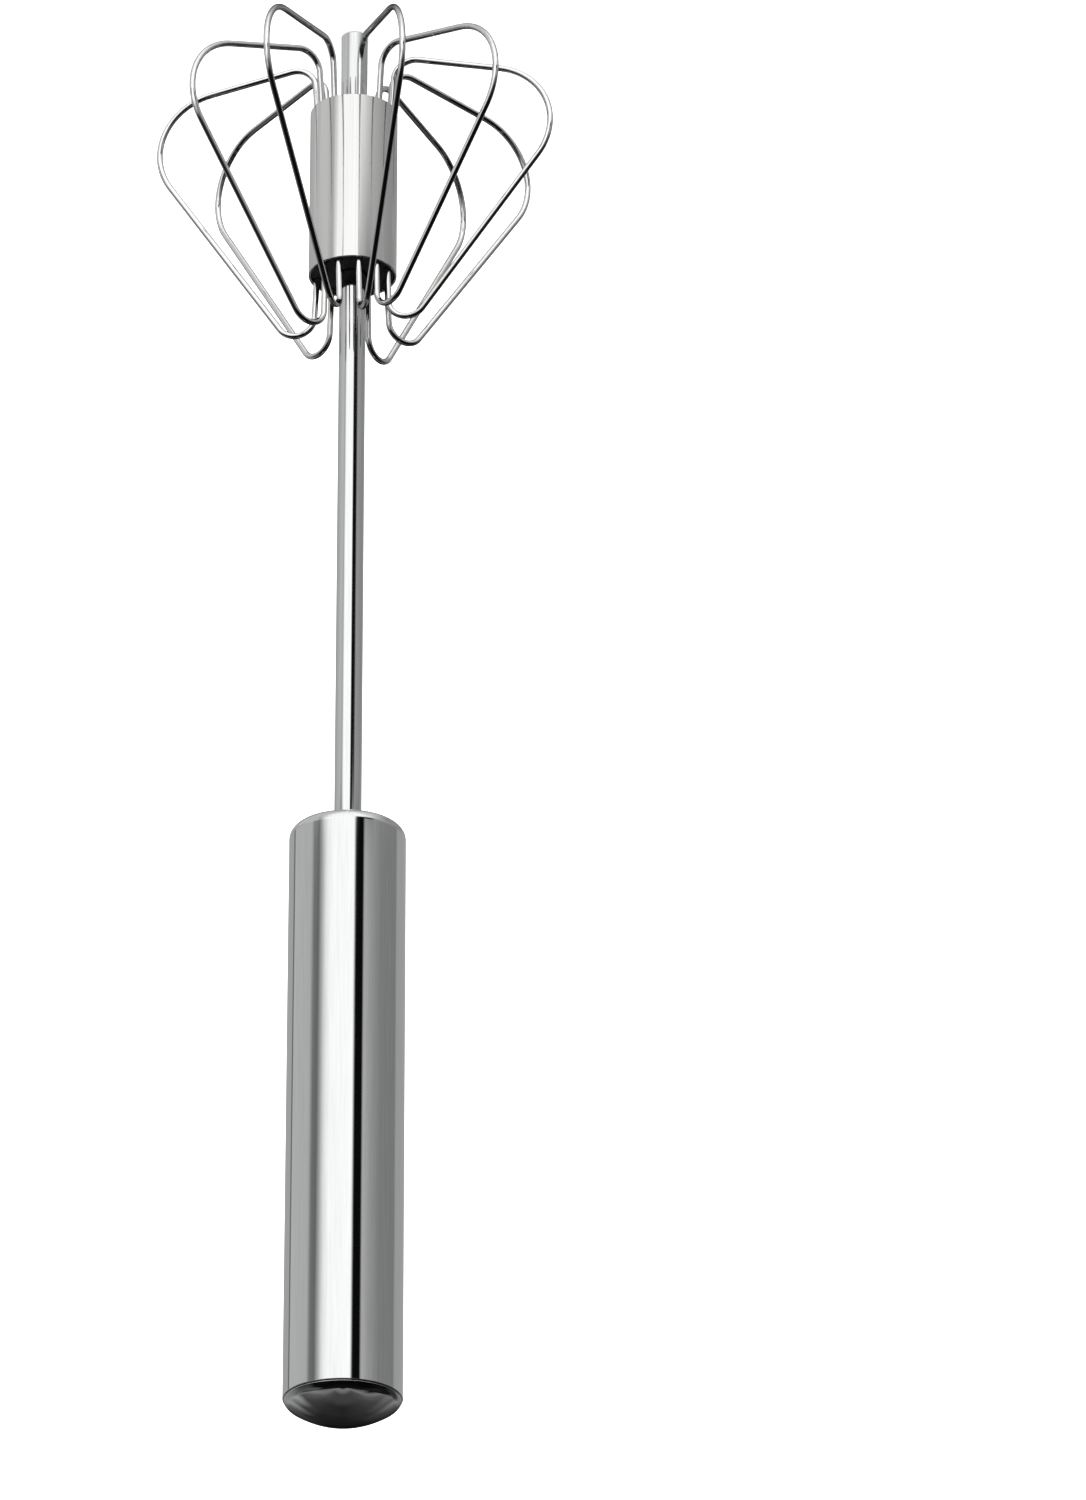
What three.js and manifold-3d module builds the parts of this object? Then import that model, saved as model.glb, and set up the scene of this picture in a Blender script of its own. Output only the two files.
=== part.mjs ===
// Push-down rotary whisk (semi-automatic egg beater), in millimetres, +Z up.
// The whisk stands upright as it is used: the shaft's tip touches z = 0 at the origin, and the
// handle is on top. Pressing the handle down slides the shaft into it, and a twisted rod in the
// shaft turns that stroke into spin. Azimuths are in degrees round the axis, from -Y towards -X.
import * as THREE from "three";
import { mergeVertices } from "three/addons/utils/BufferGeometryUtils.js";
import Module from "manifold-3d";

const wasm = await Module();
wasm.setup();

// ---- driving dimensions ----
const GAP = 0.3; // kept between pieces that touch on the real object
const SEAL_GAP = 0.1; // kept at the thin gasket under the end cap
const ROUND_SIDES = 32; // facets round the handle, the sleeve and the hubs
const SMALL_SIDES = 20; // facets round the shaft and the small turned pieces
const BAR_SIDES = 8; // facets round the anchor's pin and the round cutters
const OVERRUN = 1; // of a cutter past the face that it cuts

const SHAFT_R = 2.95;
const SHAFT_BORE_R = 2.4;
const TIP_CHAMFER = 0.35;
const TIP_PLUG_LENGTH = 8;

const SLEEVE_R = 9.75;
const SLEEVE_WALL = 0.5;
const SLEEVE_Z = [20, 61];
const HUB_DEPTH = 9; // of each plastic hub inside the sleeve's ends
const HUB_RECESS = 0.4; // of a hub's face below the sleeve's rim

const WIRE_R = 0.7;
const WIRE_SIDES = 6;
const LEG_R = 7.8; // a loop's legs in the hubs, from the axis
const CORNER_R = 9.3; // where a leg bends outwards, from the axis
const REACH_R = 54.7; // where the two long runs would meet, before the bend rounds them
const TIP_CORNER_Z = 5.9;
const REACH_Z = 17.2;
const FOOT_Z = 84;
const LEG_ENDS_Z = [28, 53];
const BEND_RADII = [4.6, 15, 4.2]; // at the tip corner, at full reach, at the foot
const BEND_STEPS = [4, 9, 8];
const LEG_OVERRUN = 0.25; // of a leg's cutter past the leg's end, as a share of its length

const HANDLE_R = 12.5;
const HANDLE_WALL = 0.6;
const HANDLE_Z = [195.4, 325];
const SHOULDER_R = 2.5;
const SHOULDER_STEPS = { outside: 4, inside: 3 };
const MOUTH_R = 3.9;
const CAP_RISE = 5.2; // how far the domed end cap stands above the handle's rim
const CAP_R = 12.3;
const CAP_EDGE_R = 0.5;
const CAP_EDGE_FROM_DEG = 15; // where the rounded edge starts, above the cap's underside
const CAP_EDGE_STEPS = 2;
const CAP_DOME_STEPS = 7;
const CAP_UNDERCUT = 0.2; // of the cap's underside, inside its edge

const LEAD = 40; // rod twist: one turn each LEAD
const ROD_WIDTH = 2.6;
const ROD_THICKNESS = 0.8;
const ROD_Z = [190, 316.5];
const TWIST_STEP_DEG = 20;
const NUT_SPIGOT = 10; // length of the nut's spigot in the shaft
const NUT_FLANGE = 2;
const NUT_FLANGE_R = 8;
const COLLAR_R = 6;
const COLLAR_HEIGHT = 3;
const WASHER_R = 8;
const WASHER_BORE_R = 2.2; // clear of the rod
const WASHER_THICKNESS = 1;
const SEAT_THICKNESS = 1.2;
const BUSH_HEIGHT = 7; // from the handle's mouth to the bush's top
const PLUG_DEPTH = 11.5; // of the cap's plug below the handle's rim
const ANCHOR_R = 3;
const ANCHOR_RECESS = 1.5; // of the anchor's top below the plug's
const PIN_R = 0.8;
const PIN_HALF_LENGTH = 8;
const GASKET_THICKNESS = 0.4;

const SPRING_R = 6.2;
const SPRING_WIRE_R = 0.5;
const SPRING_SIDES = 5;
const SPRING_TURNS = 11;
const SPRING_END_PITCH = 1.4;
const STEPS_PER_TURN = 10;

// ---- what stands on what, from the handle's mouth up ----
const BUSH_Z = [HANDLE_Z[0] + HANDLE_WALL + GAP, HANDLE_Z[0] + BUSH_HEIGHT];
const COLLAR_Z = [BUSH_Z[1] + GAP, BUSH_Z[1] + GAP + COLLAR_HEIGHT];
const SHAFT_TOP_Z = COLLAR_Z[1];
const NUT_Z = [
  SHAFT_TOP_Z - NUT_SPIGOT,
  SHAFT_TOP_Z + GAP,
  SHAFT_TOP_Z + GAP + NUT_FLANGE,
];
const WASHER_Z = [NUT_Z[2] + GAP, NUT_Z[2] + GAP + WASHER_THICKNESS];
const PLUG_Z = [HANDLE_Z[1] - PLUG_DEPTH, HANDLE_Z[1] + SEAL_GAP];
const SEAT_Z = [PLUG_Z[0] - GAP - SEAT_THICKNESS, PLUG_Z[0] - GAP];
const ANCHOR_Z = [PLUG_Z[0] + GAP, PLUG_Z[1] - ANCHOR_RECESS];
const PIN_Z = 319.5;
const GASKET_Z = [HANDLE_Z[1] + SEAL_GAP, HANDLE_Z[1] + SEAL_GAP + GASKET_THICKNESS];
const CAP_Z = [GASKET_Z[1] + SEAL_GAP, HANDLE_Z[1] + CAP_RISE];

// Each loop was bent by hand and sits a little out of true. The azimuths are those of its tip leg,
// its full reach, its foot and its leg in the grip-side hub. Then come the extra reach, and how
// far the reach and the foot are off their places along the axis.
const LOOPS = [
  { azimuths: [-30, -22, -14, -24], reach: 5, rise: 1, foot: -3 },
  { azimuths: [10, 15, 13, 9], reach: 0, rise: 0, foot: -1 },
  { azimuths: [43, 44, 38, 42], reach: 2, rise: 0, foot: -4 },
  { azimuths: [82, 78, 68, 70], reach: 0, rise: 0, foot: -3 },
  { azimuths: [112, 121, 113, 113], reach: 0, rise: -1, foot: -1 },
  { azimuths: [145, 146, 157, 157], reach: -3, rise: 1, foot: 1 },
  { azimuths: [184, 184, 184, 184], reach: 0, rise: 0, foot: 0 },
  { azimuths: [-134, -136, -144, -144], reach: 1, rise: -3, foot: 0 },
  { azimuths: [-104, -100, -104, -104], reach: -1, rise: -1, foot: -1 },
  { azimuths: [-58, -52, -42, -48], reach: -2, rise: 2, foot: 2 },
];

// ---- finishes ----
const finishes = {
  mirrorSteel: { color: 0xd8dadb, roughness: 0.06, metalness: 1 },
  satinSteel: { color: 0xcfd1d2, roughness: 0.22, metalness: 1 },
  springSteel: { color: 0x9a9c9e, roughness: 0.35, metalness: 1 },
  blackNylon: { color: 0x141414, roughness: 0.5, metalness: 0 },
  whiteAcetal: { color: 0xe6e4de, roughness: 0.45, metalness: 0 },
  blackRubber: { color: 0x0d0d0d, roughness: 0.7, metalness: 0 },
};

const whisk = new THREE.Group();

function place(name, geometry, finish) {
  const mesh = new THREE.Mesh(geometry, new THREE.MeshStandardMaterial(finishes[finish]));
  mesh.name = name;
  whisk.add(mesh);
}

// ---- shape helpers ----

// A turned piece from [radius, z] pairs that go round its half section anticlockwise.
function turned(profile, sides) {
  const points = profile.map(([r, z]) => new THREE.Vector2(r, z));
  return new THREE.LatheGeometry(points, sides).rotateX(Math.PI / 2);
}

// A ring or washer with a square section.
function ring(innerR, outerR, [low, high], sides) {
  return turned(
    [
      [innerR, low],
      [outerR, low],
      [outerR, high],
      [innerR, high],
      [innerR, low],
    ],
    sides,
  );
}

// A plain round bar along Z.
function bar(radius, [low, high], sides) {
  const geometry = new THREE.CylinderGeometry(radius, radius, high - low, sides);
  return geometry.rotateX(Math.PI / 2).translate(0, 0, (low + high) / 2);
}

// Points of a quarter round from one angle to another, for a turned profile.
function roundedEdge(centreR, centreZ, radius, fromDeg, toDeg, steps) {
  return Array.from({ length: steps + 1 }, (_, i) => {
    const angle = THREE.MathUtils.degToRad(fromDeg + ((toDeg - fromDeg) * i) / steps);
    return [centreR + radius * Math.cos(angle), centreZ + radius * Math.sin(angle)];
  });
}

// The section of a wire with flat sides.
function wireSection(radius, sides) {
  const corners = Array.from({ length: sides }, (_, i) => {
    const angle = (2 * Math.PI * i) / sides;
    return new THREE.Vector2(radius * Math.cos(angle), radius * Math.sin(angle));
  });
  return new THREE.Shape(corners);
}

function solidOf(geometry) {
  const bare = geometry.clone();
  bare.deleteAttribute("normal");
  bare.deleteAttribute("uv");
  const merged = mergeVertices(bare, 1e-4);
  return new wasm.Manifold(
    new wasm.Mesh({
      numProp: 3,
      vertProperties: merged.attributes.position.array,
      triVerts: new Uint32Array(merged.index.array),
    }),
  );
}

// The geometry less the tools that cut it.
function cut(geometry, tools) {
  const left = tools.reduce((solid, tool) => solid.subtract(solidOf(tool)), solidOf(geometry));
  const mesh = left.getMesh();
  return new THREE.BufferGeometry()
    .setAttribute("position", new THREE.BufferAttribute(mesh.vertProperties, 3))
    .setIndex(new THREE.BufferAttribute(mesh.triVerts, 1));
}

// ---- the head: shaft, sleeve, hubs and wire loops ----

function polar(radius, z, azimuthDeg) {
  const azimuth = THREE.MathUtils.degToRad(azimuthDeg);
  return new THREE.Vector3(-radius * Math.sin(azimuth), -radius * Math.cos(azimuth), z);
}

function loopCorners({ azimuths, reach, rise, foot }) {
  const [tip, outer, low, hub] = azimuths;
  return [
    polar(LEG_R, LEG_ENDS_Z[0], tip),
    polar(CORNER_R, TIP_CORNER_Z, tip),
    polar(REACH_R + reach, REACH_Z + rise, outer),
    polar(CORNER_R, FOOT_Z + foot, low),
    polar(LEG_R, LEG_ENDS_Z[1], hub),
  ];
}

// A bent wire's centre line: straight runs with one step each, and bends of a given radius with
// their own steps, so that all the facets are spent on the bends.
class BentWire extends THREE.Curve {
  constructor(corners, radii, steps) {
    super();
    this.stations = [];
    this.tangents = [];
    this.addStation(corners[0], corners[1].clone().sub(corners[0]));
    for (let i = 1; i < corners.length - 1; i += 1) {
      this.addBend(corners[i - 1], corners[i], corners[i + 1], radii[i - 1], steps[i - 1]);
    }
    const [before, last] = corners.slice(-2);
    this.addStation(last, last.clone().sub(before));
  }

  addStation(point, direction) {
    this.stations.push(point.clone());
    this.tangents.push(direction.clone().normalize());
  }

  addBend(before, corner, after, radius, steps) {
    const into = corner.clone().sub(before).normalize();
    const out = after.clone().sub(corner).normalize();
    const turn = into.angleTo(out);
    const setback = radius * Math.tan(turn / 2);
    const start = corner.clone().addScaledVector(into, -setback);
    const side = out.clone().addScaledVector(into, -out.dot(into)).normalize();
    for (let i = 0; i <= steps; i += 1) {
      const angle = (turn * i) / steps;
      const point = start
        .clone()
        .addScaledVector(into, radius * Math.sin(angle))
        .addScaledVector(side, radius * (1 - Math.cos(angle)));
      const direction = into
        .clone()
        .multiplyScalar(Math.cos(angle))
        .addScaledVector(side, Math.sin(angle));
      this.addStation(point, direction);
    }
  }

  getPoint(t, target = new THREE.Vector3()) {
    const at = Math.round(t * (this.stations.length - 1));
    return target.copy(this.stations[at]);
  }

  getPointAt(u, target) {
    return this.getPoint(u, target);
  }

  getTangentAt(u, target = new THREE.Vector3()) {
    const at = Math.round(u * (this.stations.length - 1));
    return target.copy(this.tangents[at]);
  }
}

function wireLoop(loop) {
  const path = new BentWire(loopCorners(loop), BEND_RADII, BEND_STEPS);
  return new THREE.ExtrudeGeometry(wireSection(WIRE_R, WIRE_SIDES), {
    steps: path.stations.length - 1,
    extrudePath: path,
    bevelEnabled: false,
  });
}

// The round cutter that clears one leg of a loop, from its end in the hub to past the hub's face.
function legCutter(end, corner) {
  const along = corner.clone().sub(end);
  const length = along.length() * (1 + LEG_OVERRUN);
  const middle = end.clone().addScaledVector(along, (1 - LEG_OVERRUN) / 2);
  const geometry = new THREE.CylinderGeometry(WIRE_R + GAP, WIRE_R + GAP, length, BAR_SIDES);
  const turn = new THREE.Quaternion().setFromUnitVectors(
    new THREE.Vector3(0, 1, 0),
    along.normalize(),
  );
  return geometry.applyQuaternion(turn).translate(middle.x, middle.y, middle.z);
}

function hub(zRange, legEnd, legCorner) {
  const disc = ring(SHAFT_R + GAP, SLEEVE_R - SLEEVE_WALL - GAP, zRange, ROUND_SIDES);
  const cutters = LOOPS.map((loop) => {
    const corners = loopCorners(loop);
    return legCutter(corners[legEnd], corners[legCorner]);
  });
  return cut(disc, cutters);
}

function buildHead() {
  place(
    "shaft_tube",
    turned(
      [
        [SHAFT_BORE_R, 0],
        [SHAFT_R - TIP_CHAMFER, 0],
        [SHAFT_R, TIP_CHAMFER],
        [SHAFT_R, SHAFT_TOP_Z],
        [SHAFT_BORE_R, SHAFT_TOP_Z],
        [SHAFT_BORE_R, 0],
      ],
      SMALL_SIDES,
    ),
    "mirrorSteel",
  );
  place("tip_plug", bar(SHAFT_BORE_R - GAP, [0, TIP_PLUG_LENGTH], SMALL_SIDES), "mirrorSteel");
  place("head_sleeve", ring(SLEEVE_R - SLEEVE_WALL, SLEEVE_R, SLEEVE_Z, ROUND_SIDES), "satinSteel");
  const tipFace = SLEEVE_Z[0] + HUB_RECESS;
  const gripFace = SLEEVE_Z[1] - HUB_RECESS;
  place("tip_side_hub", hub([tipFace, tipFace + HUB_DEPTH], 0, 1), "blackNylon");
  place("grip_side_hub", hub([gripFace - HUB_DEPTH, gripFace], 4, 3), "blackNylon");
  LOOPS.forEach((loop, i) => {
    place(`wire_loop_${String(i + 1).padStart(2, "0")}`, wireLoop(loop), "mirrorSteel");
  });
}

// ---- the drive: twisted rod, nut, collar, washer and spring ----

// A flat strip twisted round the Z axis, one turn each LEAD, with its width along X at z = 0.
function twistedStrip(width, thickness, [low, high]) {
  const twistPerMm = (2 * Math.PI) / LEAD;
  const steps = Math.ceil(((high - low) * 360) / LEAD / TWIST_STEP_DEG);
  const geometry = new THREE.BoxGeometry(width, thickness, high - low, 1, 1, steps);
  geometry.translate(0, 0, (low + high) / 2);
  const position = geometry.getAttribute("position");
  const point = new THREE.Vector3();
  const axis = new THREE.Vector3(0, 0, 1);
  for (let i = 0; i < position.count; i += 1) {
    point.fromBufferAttribute(position, i).applyAxisAngle(axis, twistPerMm * position.getZ(i));
    position.setXYZ(i, point.x, point.y, point.z);
  }
  return geometry;
}

// The slot that the rod runs in, cut with the rod's own twist and clear of it all round.
function rodSlot(zRange) {
  return twistedStrip(ROD_WIDTH + 2 * GAP, ROD_THICKNESS + 2 * GAP, zRange);
}

class SpringLine extends THREE.Curve {
  constructor([low, high]) {
    super();
    this.low = low;
    this.rise = high - low;
  }

  // Evenly pitched turns between one closed turn at each end.
  getPoint(t, target = new THREE.Vector3()) {
    const turn = t * SPRING_TURNS;
    const openPitch = (this.rise - 2 * SPRING_END_PITCH) / (SPRING_TURNS - 2);
    const closedBelow = Math.min(turn, 1) * SPRING_END_PITCH;
    const open = THREE.MathUtils.clamp(turn - 1, 0, SPRING_TURNS - 2) * openPitch;
    const closedAbove = Math.max(turn - (SPRING_TURNS - 1), 0) * SPRING_END_PITCH;
    const angle = 2 * Math.PI * turn;
    const z = this.low + closedBelow + open + closedAbove;
    return target.set(SPRING_R * Math.cos(angle), SPRING_R * Math.sin(angle), z);
  }

  getPointAt(u, target) {
    return this.getPoint(u, target);
  }
}

function returnSpring([low, high]) {
  return new THREE.ExtrudeGeometry(wireSection(SPRING_WIRE_R, SPRING_SIDES), {
    steps: SPRING_TURNS * STEPS_PER_TURN,
    extrudePath: new SpringLine([low + SPRING_WIRE_R + GAP, high - SPRING_WIRE_R - GAP]),
    bevelEnabled: false,
  });
}

function driveNut() {
  const spigotR = SHAFT_BORE_R - GAP;
  const blank = turned(
    [
      [0, NUT_Z[0]],
      [spigotR, NUT_Z[0]],
      [spigotR, NUT_Z[1]],
      [NUT_FLANGE_R, NUT_Z[1]],
      [NUT_FLANGE_R, NUT_Z[2]],
      [0, NUT_Z[2]],
    ],
    SMALL_SIDES,
  );
  return cut(blank, [rodSlot([NUT_Z[0] - OVERRUN, NUT_Z[2] + OVERRUN])]);
}

function buildDrive() {
  place("drive_nut", driveNut(), "whiteAcetal");
  place("stop_collar", ring(SHAFT_R + GAP, COLLAR_R, COLLAR_Z, SMALL_SIDES), "springSteel");
  const washer = ring(WASHER_BORE_R, WASHER_R, WASHER_Z, SMALL_SIDES);
  place("thrust_washer", washer, "springSteel");
  place("return_spring", returnSpring([WASHER_Z[1], SEAT_Z[0]]), "springSteel");
  place("twist_rod", twistedStrip(ROD_WIDTH, ROD_THICKNESS, ROD_Z), "springSteel");
}

// ---- the handle: shell, mouth bush, plug, rod anchor and end cap ----

function handleShell() {
  const innerR = HANDLE_R - HANDLE_WALL;
  const centreR = HANDLE_R - SHOULDER_R;
  const centreZ = HANDLE_Z[0] + SHOULDER_R;
  const insideR = SHOULDER_R - HANDLE_WALL;
  return turned(
    [
      [MOUTH_R, HANDLE_Z[0]],
      ...roundedEdge(centreR, centreZ, SHOULDER_R, -90, 0, SHOULDER_STEPS.outside),
      [HANDLE_R, HANDLE_Z[1]],
      [innerR, HANDLE_Z[1]],
      ...roundedEdge(centreR, centreZ, insideR, 0, -90, SHOULDER_STEPS.inside),
      [MOUTH_R, HANDLE_Z[0] + HANDLE_WALL],
      [MOUTH_R, HANDLE_Z[0]],
    ],
    ROUND_SIDES,
  );
}

function mouthBush() {
  const outerR = HANDLE_R - HANDLE_WALL - GAP;
  const boreR = SHAFT_R + GAP;
  const chamfer = SHOULDER_R - HANDLE_WALL;
  return turned(
    [
      [boreR, BUSH_Z[0]],
      [outerR - chamfer, BUSH_Z[0]],
      [outerR, BUSH_Z[0] + chamfer],
      [outerR, BUSH_Z[1]],
      [boreR, BUSH_Z[1]],
      [boreR, BUSH_Z[0]],
    ],
    ROUND_SIDES,
  );
}

// A round bar across the axis, along X.
function crossBar(radius, halfLength, z) {
  const geometry = new THREE.CylinderGeometry(radius, radius, 2 * halfLength, BAR_SIDES);
  return geometry.rotateZ(Math.PI / 2).translate(0, 0, z);
}

function endCap() {
  const centreR = CAP_R - CAP_EDGE_R;
  const rise = CAP_Z[1] - CAP_Z[0] - CAP_EDGE_R;
  // The dome falls from its middle as a square of the radius, and the rounded edge ends where the
  // two slopes are the same.
  const edgeToDeg = 90 - THREE.MathUtils.radToDeg(Math.atan((2 * rise) / centreR));
  const steps = CAP_EDGE_STEPS;
  const edge = roundedEdge(centreR, CAP_Z[0], CAP_EDGE_R, CAP_EDGE_FROM_DEG, edgeToDeg, steps);
  const [rimR, rimZ] = edge.at(-1);
  const dome = Array.from({ length: CAP_DOME_STEPS }, (_, i) => {
    const share = 1 - (i + 1) / CAP_DOME_STEPS;
    return [rimR * share, CAP_Z[1] - (CAP_Z[1] - rimZ) * share * share];
  });
  return turned([[0, CAP_Z[0]], [CAP_R - CAP_UNDERCUT, CAP_Z[0]], ...edge, ...dome], ROUND_SIDES);
}

function buildHandle() {
  const plugR = HANDLE_R - HANDLE_WALL - GAP;
  const pinHole = crossBar(PIN_R + GAP, PIN_HALF_LENGTH + GAP, PIN_Z);
  place("handle_shell", handleShell(), "mirrorSteel");
  place("mouth_bush", mouthBush(), "whiteAcetal");
  place("spring_seat", ring(WASHER_BORE_R, plugR, SEAT_Z, SMALL_SIDES), "springSteel");
  const plug = ring(ANCHOR_R + GAP, plugR, PLUG_Z, ROUND_SIDES);
  place("cap_plug", cut(plug, [pinHole]), "blackNylon");
  const anchorSlot = rodSlot([ANCHOR_Z[0] - OVERRUN, ROD_Z[1] + GAP]);
  place(
    "rod_anchor",
    cut(bar(ANCHOR_R, ANCHOR_Z, SMALL_SIDES), [anchorSlot, pinHole]),
    "springSteel",
  );
  place("anchor_pin", crossBar(PIN_R, PIN_HALF_LENGTH, PIN_Z), "springSteel");
  place("cap_gasket", ring(plugR + GAP, HANDLE_R - GAP, GASKET_Z, ROUND_SIDES), "blackRubber");
  place("end_cap", endCap(), "mirrorSteel");
}

buildHead();
buildDrive();
buildHandle();

export default whisk;
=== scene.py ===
"""Push-down rotary whisk (semi-automatic egg beater) in polished stainless steel.

The whisk stands upright as it is used. The shaft's tip touches the floor at the origin, the
handle's end cap is on top (+Z), and the whisk's front is -Y. Lengths are in metres. Azimuths are
in degrees round the axis, from -Y towards -X.

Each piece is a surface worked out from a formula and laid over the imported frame, and it rides on
the frame's body of the same mechanism: the handle, the sliding carriage or the spinning head.
"""

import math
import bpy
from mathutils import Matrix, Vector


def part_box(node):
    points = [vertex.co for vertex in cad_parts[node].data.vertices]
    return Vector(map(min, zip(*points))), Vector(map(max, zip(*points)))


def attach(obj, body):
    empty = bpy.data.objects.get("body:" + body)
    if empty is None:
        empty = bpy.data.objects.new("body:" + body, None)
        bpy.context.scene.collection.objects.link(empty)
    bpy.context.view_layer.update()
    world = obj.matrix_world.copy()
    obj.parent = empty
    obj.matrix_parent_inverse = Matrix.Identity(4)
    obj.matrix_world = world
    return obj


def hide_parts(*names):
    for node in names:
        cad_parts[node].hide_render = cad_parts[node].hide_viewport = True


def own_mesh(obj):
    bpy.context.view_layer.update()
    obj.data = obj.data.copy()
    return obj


bl_info = {
    "name": "Push-down rotary whisk",
    "version": (1, 0, 0),
    "blender": (4, 5, 0),
    "location": "3D View > Sidebar > Whisk",
    "description": "Builds the finished pieces of a push-down rotary whisk, and its studio",
    "category": "Add Mesh",
}

import bmesh
import bpy
import numpy as np
from bpy.props import FloatProperty, FloatVectorProperty, IntProperty, PointerProperty
from mathutils import Matrix, Vector

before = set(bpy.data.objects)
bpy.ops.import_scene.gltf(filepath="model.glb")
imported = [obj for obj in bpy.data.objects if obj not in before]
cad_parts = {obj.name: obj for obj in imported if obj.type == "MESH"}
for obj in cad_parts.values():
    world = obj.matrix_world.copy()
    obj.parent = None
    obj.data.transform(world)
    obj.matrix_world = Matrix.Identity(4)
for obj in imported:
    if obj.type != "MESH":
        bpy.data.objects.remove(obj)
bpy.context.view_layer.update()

MM = 0.001
WELD = 1e-7  # points nearer than this are one point
SHARP_DEG = 50  # an edge that turns more than this is shaded sharp
NOISE_RANGE = (0.3, 0.7)  # nearly all of a noise pattern's values lie between these
SPECKLE_RANGE = (0.35, 0.75)  # for a plastic's tint, so that only a few specks are light

# How finely the surfaces are cut.
ROUND_SIDES = 128  # round the handle and the sleeve
SMALL_SIDES = 96  # round the shaft and the small turned pieces
WIRE_SIDES = 20  # round a wire
SPRING_SIDES = 12  # round the spring's wire
TURN_STEPS = 36  # along one turn of the spring
EDGE_STEPS = 6  # round a small broken edge
RIM_STEPS = 8  # round the edges of the shaft, its plug and the bush
SHOULDER_STEPS = 16  # round the handle's shoulder
CAP_EDGE_STEPS = 24  # round the end cap's edge
CAP_DOME_STEPS = 48  # from the end cap's edge to its middle
STRIP_EDGE_STEPS = 4  # round the twisted strip's edges
STRIP_STEPS = 400  # along the twisted strip
HUB_SIDES = 320  # round a hub's face
HUB_RINGS = 44  # from a hub's hole to its outside


# ---- places, from the frame ----


def reach_of(node):
    """(radius, low z, high z) of a round node that stands on the Z axis."""
    low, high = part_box(node)
    return high.x, low.z, high.z


HANDLE_R, HANDLE_LOW, HANDLE_TOP = reach_of("handle_shell")
CAP_R, _, CAP_TOP = reach_of("end_cap")
SEAL_R = reach_of("cap_gasket")[0]
SHAFT_R, SHAFT_LOW, SHAFT_TOP = reach_of("shaft_tube")
BORE_R = SHAFT_R + 0.3 * MM  # of the hubs and the bush, which the shaft runs through
SLEEVE_R, SLEEVE_LOW, SLEEVE_TOP = reach_of("head_sleeve")
TIP_HUB_LOW, TIP_HUB_TOP = reach_of("tip_side_hub")[1:]
GRIP_HUB_LOW, GRIP_HUB_TOP = reach_of("grip_side_hub")[1:]
TIP_PLUG_R, TIP_PLUG_LOW, TIP_PLUG_TOP = reach_of("tip_plug")
ROD_LOW, ROD_TOP = reach_of("twist_rod")[1:]
SPRING_LOW, SPRING_TOP = reach_of("return_spring")[1:]
BUSH_R, BUSH_LOW, BUSH_TOP = reach_of("mouth_bush")

# ---- the wire loops ----

LEG_R = 7.8 * MM  # of a loop's legs in the hubs, from the axis
CORNER_R = 9.3 * MM  # where a leg bends outwards, from the axis
REACH_R = 54.7 * MM  # where the two long runs would meet, before the bend rounds them
TIP_CORNER_Z = 5.9 * MM
REACH_Z = 17.2 * MM
FOOT_Z = 84 * MM
LEG_ENDS_Z = (28 * MM, 53 * MM)
TIP_END, TIP_CORNER, FOOT, GRIP_END = 0, 1, 3, 4  # some of a loop's corners, by number
BEND_RADII = (4.6 * MM, 15 * MM, 4.2 * MM)  # at the tip corner, at full reach, at the foot
BEND_STEPS = 24

# Each loop was bent by hand and sits a little out of true: the azimuths of its tip leg, its full
# reach, its foot and its grip-side leg, then the extra reach and how far the reach and the foot
# are off their places along the axis, in millimetres.
LOOPS = (
    ((-30, -22, -14, -24), 5, 1, -3),
    ((10, 15, 13, 9), 0, 0, -1),
    ((43, 44, 38, 42), 2, 0, -4),
    ((82, 78, 68, 70), 0, 0, -3),
    ((112, 121, 113, 113), 0, -1, -1),
    ((145, 146, 157, 157), -3, 1, 1),
    ((184, 184, 184, 184), 0, 0, 0),
    ((-134, -136, -144, -144), 1, -3, 0),
    ((-104, -100, -104, -104), -1, -1, -1),
    ((-58, -52, -42, -48), -2, 2, 2),
)


# ---- sizes and colours that a user would change ----


def linear(hex_colour):
    """An sRGB hex colour as linear red, green and blue."""
    channels = np.array([int(hex_colour[i : i + 2], 16) / 255 for i in (1, 3, 5)])
    low, high = channels / 12.92, ((channels + 0.055) / 1.055) ** 2.4
    return tuple(float(c) for c in np.where(channels <= 0.04045, low, high))


def length(name, default, description):
    """A length property, in metres."""
    return FloatProperty(
        name=name, description=description, default=default, min=0.0, precision=4, unit="LENGTH"
    )


def tilt(name, default_deg, description):
    """An angle property, from degrees."""
    return FloatProperty(
        name=name,
        description=description,
        default=math.radians(default_deg),
        min=0.0,
        max=math.pi / 2,
        subtype="ANGLE",
    )


def colour(name, hex_colour, description):
    """A colour property, from an sRGB hex colour."""
    return FloatVectorProperty(
        name=name,
        description=description,
        default=linear(hex_colour),
        min=0.0,
        max=1.0,
        size=3,
        subtype="COLOR",
    )


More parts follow.
